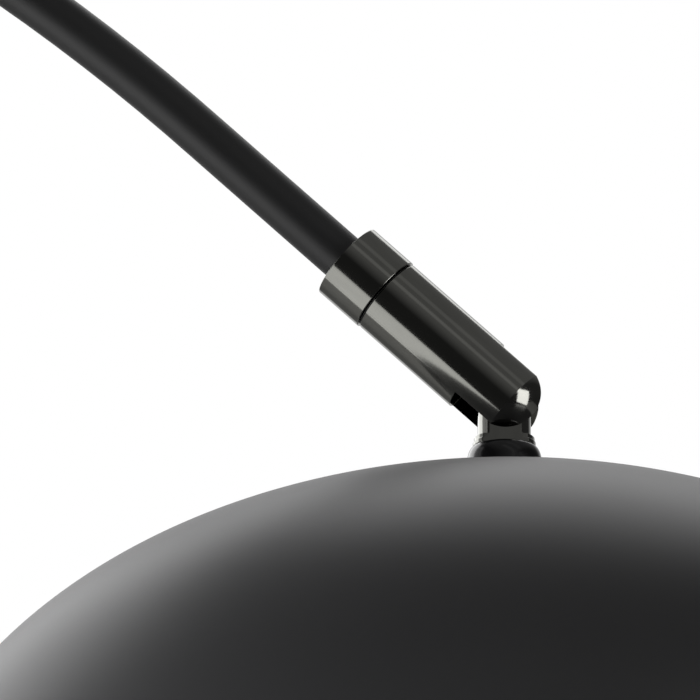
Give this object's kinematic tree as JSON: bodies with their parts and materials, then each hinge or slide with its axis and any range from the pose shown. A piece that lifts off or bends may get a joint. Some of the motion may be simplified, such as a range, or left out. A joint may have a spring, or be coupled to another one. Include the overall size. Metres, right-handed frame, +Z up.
{
  "type": "arc floor lamp",
  "caption": "Arc floor lamp: black marble disc, slim black pole and arc tube, polished swivel and tilt joint, matt dark dome shade.",
  "frame": {"origin": "centre of the underside of the base, on the floor and on the pole's axis", "axes": "+Z up along the pole, +X the way the arm reaches over at rest, +Y to the back of the lamp as seen in a side view"},
  "size_m": [1.6306, 0.402, 1.885],
  "materials": {
    "felt": "matte",
    "marble": "polished",
    "gland_rubber": "matte",
    "zinc_steel": "satin",
    "black_nickel": "polished",
    "satin_black": "satin",
    "black_polymer": "matte",
    "lead_sheath": "satin",
    "moulded_black": "satin",
    "dark_steel": "satin",
    "nylon": "satin",
    "gloss_black": "gloss",
    "shade_paint": "matte",
    "white_ceramic": "satin",
    "brass": "satin",
    "bulb_nickel": "satin",
    "opal_glass": "gloss"
  },
  "bodies": {
    "stand": {"felt_pad": "felt", "marble_base": "marble", "cable_gland": "gland_rubber", "tie_stud": "zinc_steel", "base_washer": "zinc_steel", "tie_nut": "zinc_steel", "pole_foot": "black_nickel", "lower_pole": "satin_black", "pole_coupler": "black_nickel", "upper_pole": "satin_black", "swivel_socket": "black_nickel", "swivel_bush": "black_polymer", "pole_lead": "lead_sheath"},
    "lock": {"lock_knob": "moulded_black", "lock_screw": "zinc_steel"},
    "arm": {"root_collar": "black_nickel", "root_grub": "dark_steel", "lower_arc": "satin_black", "arc_joiner": "black_nickel", "joiner_grubs": "dark_steel", "upper_arc": "satin_black", "end_collar": "black_nickel", "collar_grub": "dark_steel", "swivel_spindle": "zinc_steel", "arc_lead": "lead_sheath"},
    "knuckle": {"groove_washer_ring": "black_polymer", "knuckle_barrel": "black_nickel", "stop_screw": "dark_steel", "pivot_screw": "dark_steel", "friction_washers": "nylon", "barrel_lead": "lead_sheath"},
    "head": {"tongue": "black_nickel", "shade_cap": "gloss_black", "nipple": "zinc_steel", "dome_shade": "shade_paint", "crown_washer": "zinc_steel", "lock_nut": "zinc_steel", "holder_cap": "moulded_black", "holder_shell": "moulded_black", "holder_insert": "white_ceramic", "screw_shell": "brass", "centre_contact": "brass", "head_lead": "lead_sheath", "bulb_cap": "bulb_nickel", "bulb_contact": "moulded_black", "bulb_glass": "opal_glass"}
  },
  "joints": [
    {"name": "arc_swivel", "type": "hinge", "parent": "stand", "child": "arm", "pos_m": [0, 0, 1.1648], "axis": [0, 0, 1], "range_deg": [-170, 170]},
    {"name": "lock_turn", "type": "hinge", "parent": "stand", "child": "lock", "pos_m": [-0.03, 0, 1.1423], "axis": [-1, 0, 0], "range_deg": [0, 450]},
    {"name": "knuckle_swivel", "type": "hinge", "parent": "arm", "child": "knuckle", "pos_m": [1.20986, 0, 1.64015], "axis": [0.7373, 0, -0.6756], "range_deg": [-175, 175]},
    {"name": "shade_tilt", "type": "hinge", "parent": "knuckle", "child": "head", "pos_m": [1.24856, 0, 1.60468], "axis": [0, 1, 0], "range_deg": [-47.5, 42.5]}
  ]
}
